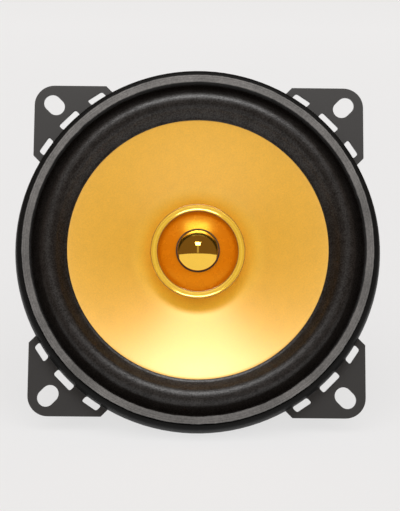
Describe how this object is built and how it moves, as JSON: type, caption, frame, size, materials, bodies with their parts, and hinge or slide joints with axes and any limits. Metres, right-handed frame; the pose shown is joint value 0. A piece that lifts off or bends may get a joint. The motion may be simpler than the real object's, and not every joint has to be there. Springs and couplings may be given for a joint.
{
  "type": "coaxial car speaker",
  "caption": "Round coaxial car loudspeaker: pressed basket with corner ears, rubber surround, gold cone, and a small tweeter pod with a bullet plug on a central stem.",
  "frame": {"origin": "centre of the mounting slot pattern, on the rear face of the mounting flange", "axes": "+Z out of the front along the cone's axis; X and Y each run through two opposite mounting ears"},
  "size_m": [0.1272, 0.1272, 0.0495],
  "materials": {
    "basket_paint": "satin black paint on pressed steel",
    "gasket_fibre": "rough grey pressed fibre",
    "surround_rubber": "satin black rubber",
    "cone_gold": "metallised gold film, satin",
    "spider_cloth": "resin-dipped woven cloth",
    "former_film": "amber polyimide film",
    "copper_wire": "enamelled copper",
    "plated_steel": "zinc plated",
    "rivet_steel": "plated, smooth",
    "ferrite": "dark grey sintered ferrite",
    "board_laminate": "brown paper laminate",
    "tinned_brass": "tin plated",
    "yellow_brass": "plain brass",
    "capacitor_sleeve": "dark blue shrink sleeve",
    "red_insulation": "red wire insulation",
    "black_insulation": "black wire insulation",
    "clip_nylon": "black nylon",
    "gold_pod": "metallised gold plastic",
    "gold_chrome": "polished gold plating",
    "bezel_gold": "polished gold plating",
    "seat_bakelite": "dark brown moulding",
    "neodymium": "nickel plated",
    "amber_film": "translucent amber film",
    "tinsel_braid": "braided copper tinsel"
  },
  "bodies": {
    "basket_body": {"basket": "basket_paint", "rim_gasket": "gasket_fibre", "top_plate": "plated_steel", "ferrite_magnet": "ferrite", "pole_yoke": "plated_steel", "plate_rivets": "rivet_steel", "terminal_board": "board_laminate", "board_rivet": "rivet_steel", "positive_terminal": "tinned_brass", "negative_terminal": "tinned_brass", "terminal_rivets": "yellow_brass", "crossover_capacitor": "capacitor_sleeve", "capacitor_leads": "tinned_brass", "tweeter_lead_positive": "red_insulation", "tweeter_lead_negative": "black_insulation", "lead_clip": "clip_nylon", "tweeter_stem": "yellow_brass", "stem_washer": "plated_steel", "stem_nut": "yellow_brass", "tweeter_housing": "gold_pod", "tweeter_bezel": "bezel_gold", "tweeter_yoke": "plated_steel", "tweeter_magnet": "neodymium", "tweeter_pole_plate": "plated_steel", "plug_spacer": "yellow_brass", "plug_seat": "seat_bakelite", "phase_plug": "gold_chrome", "plug_screw": "rivet_steel"},
    "cone_body": {"cone": "cone_gold", "surround": "surround_rubber", "spider": "spider_cloth", "coil_former": "former_film", "voice_coil": "copper_wire", "lead_anchors": "tinned_brass", "tinsel_lead_positive": "tinsel_braid", "tinsel_lead_negative": "tinsel_braid"},
    "tweeter_body": {"tweeter_diaphragm": "amber_film", "tweeter_voice_coil": "copper_wire"}
  },
  "joints": [
    {"name": "cone_stroke", "type": "slide", "parent": "basket_body", "child": "cone_body", "axis": [0, 0, 1], "range_m": [-0.0025, 0.0025], "stiffness_N_per_m": 1500, "deforming": ["surround", "spider", "tinsel_lead_positive", "tinsel_lead_negative"]},
    {"name": "tweeter_stroke", "type": "slide", "parent": "basket_body", "child": "tweeter_body", "axis": [0, 0, 1], "range_m": [-0.0002, 0.0002], "stiffness_N_per_m": 2000, "deforming": ["tweeter_diaphragm"]}
  ]
}
